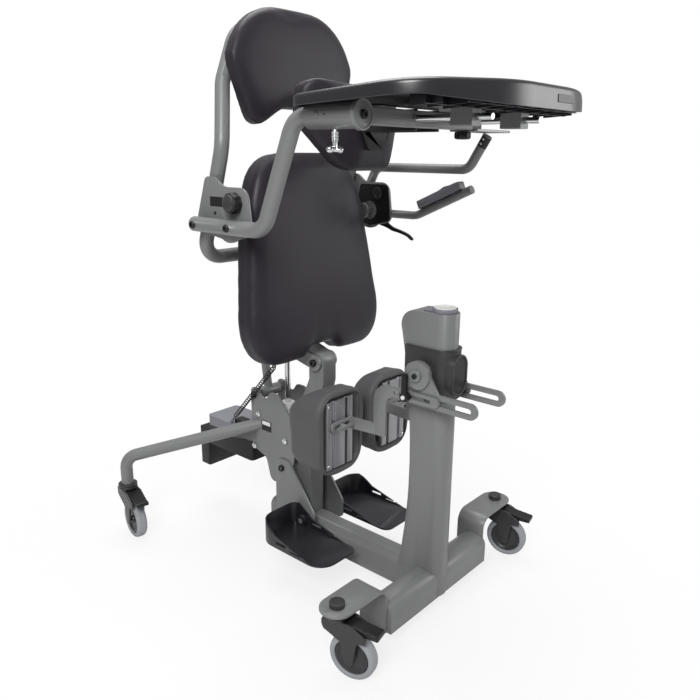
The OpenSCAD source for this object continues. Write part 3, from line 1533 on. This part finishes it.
module knee_pad(side) {
    w = knee_w / 2;
    h = knee_h / 2;
    outline = rounded(mirrored([[w * knee_low_share, -h, knee_corner], [w, h, knee_corner]]), 8);
    back_w = rail_w / 2 + knee_pad_in + knee_back_side;
    back_h = rail_high / 2 + knee_back_end;
    color(pad_grey) scale_x(side) translate([knee_x - knee_pad_in, rail_y + knee_thick / 2, knee_mid_z])
        rotate([90, 0, 180]) difference() {
        cushion(outline, knee_thick, function (p)
            let (share = abs(p[0]) / w, deep = p[0] < 0 ? knee_outer_deep : knee_inner_deep)
            [p[0], p[1], p[2] + deep * share * share * (p[2] / knee_thick + 0.5)]);
        translate([0, 0, -knee_thick / 2 - over]) linear_extrude(rail_t_y + gap + over)
            polygon(rounded(mirrored([
                [back_w, -back_h, knee_back_round], [back_w, back_h, knee_back_round]
            ])));
    }
}

// Curly cord from the control box to the seat frame
curl_d = 13;
curls = 30;
curl_rings = 8;
cord_sides = 6;
cord_lead = 12;
module curly_cord() {
    side = unit(cross(cord_axis, [1, 0, 0]));
    third = cross(cord_axis, side);
    coil = norm(cord_end - cord_start) - 2 * cord_lead;
    r = (curl_d - cord_d) / 2;
    count = curls * curl_rings;
    function swell(t) = min(1, curls * min(t, 1 - t));
    function at(t) = cord_start + cord_axis * (cord_lead + coil * t)
        + r * swell(t) * (side * cos(360 * curls * t) + third * sin(360 * curls * t));
    path = concat(
        [cord_start, cord_start + cord_axis * cord_d], [for (i = [0:count]) at(i / count)],
        [cord_end - cord_axis * cord_d, cord_end]
    );
    n = len(path);
    tangent = [for (i = [0:n - 1]) i < 2 || i > n - 3 ? cord_axis : unit(path[i + 1] - path[i - 1])];
    rings = [
        for (i = [0:n - 1])
            let (v = unit(cross(tangent[i], side + third / 3)), u = cross(v, tangent[i]))
            for (k = [0:cord_sides - 1])
                path[i] + cord_d / 2 * (u * cos(360 * k / cord_sides) + v * sin(360 * k / cord_sides))
    ];
    // The least gap between one curl and the next two, measured on the points
    least = min([
        for (i = [2:n - 3]) for (j = [i + curl_rings - 2:i + 2 * curl_rings])
            if (j < n - 2) norm(path[i] - path[j])
    ]) - cord_d;
    echo(curly_cord_least_gap = least);
    color(black) polyhedron(concat([path[0]], rings, [path[n - 1]]), ring_faces(cord_sides, n));
}

base_beam();
front_straps();
mast_column();
mast_cap();
rear_column();
hub_plates();
rear_legs();
control_box();
battery_pack();
foot_posts();
caster_fork(RIGHT, true);  // caster_fork_front_right
caster_fork(LEFT, true);  // caster_fork_front_left
caster_fork(RIGHT, false);  // caster_fork_rear_right
caster_fork(LEFT, false);  // caster_fork_rear_left
caster_wheel(RIGHT, true);  // caster_wheel_front_right
caster_wheel(LEFT, true);  // caster_wheel_front_left
caster_wheel(RIGHT, false);  // caster_wheel_rear_right
caster_wheel(LEFT, false);  // caster_wheel_rear_left
brake_pedal(RIGHT, true);  // brake_pedal_front_right
brake_pedal(LEFT, true);  // brake_pedal_front_left
brake_pedal(RIGHT, false);  // brake_pedal_rear_right
brake_pedal(LEFT, false);  // brake_pedal_rear_left
knee_collar();
knee_arm(RIGHT);  // knee_arm_right
knee_arm(LEFT);  // knee_arm_left
knee_hook(RIGHT);  // knee_hook_right
knee_hook(LEFT);  // knee_hook_left
knee_lever(RIGHT);  // knee_lever_right
knee_lever(LEFT);  // knee_lever_left
knee_rail(RIGHT);  // knee_rail_right
knee_rail(LEFT);  // knee_rail_left
knee_pad(RIGHT);  // knee_pad_right
knee_pad(LEFT);  // knee_pad_left
foot_plate(RIGHT);  // foot_plate_right
foot_plate(LEFT);  // foot_plate_left
parallel_link();
actuator_tube();
actuator_rod();
seat_frame();
seat_pad();
back_loop();
arm_brackets();
back_frame();
back_pad();
arm_knob(RIGHT);  // arm_knob_right
arm_knob(LEFT);  // arm_knob_left
tray_arm();
rest_arm();
side_handle();
pendant();
pendant_rocker();
release_lever();
tray_sleeve();
tray_carrier();
tray();
chest_pad();
chest_bracket();
pull_pin();
tray_knob();
curly_cord();
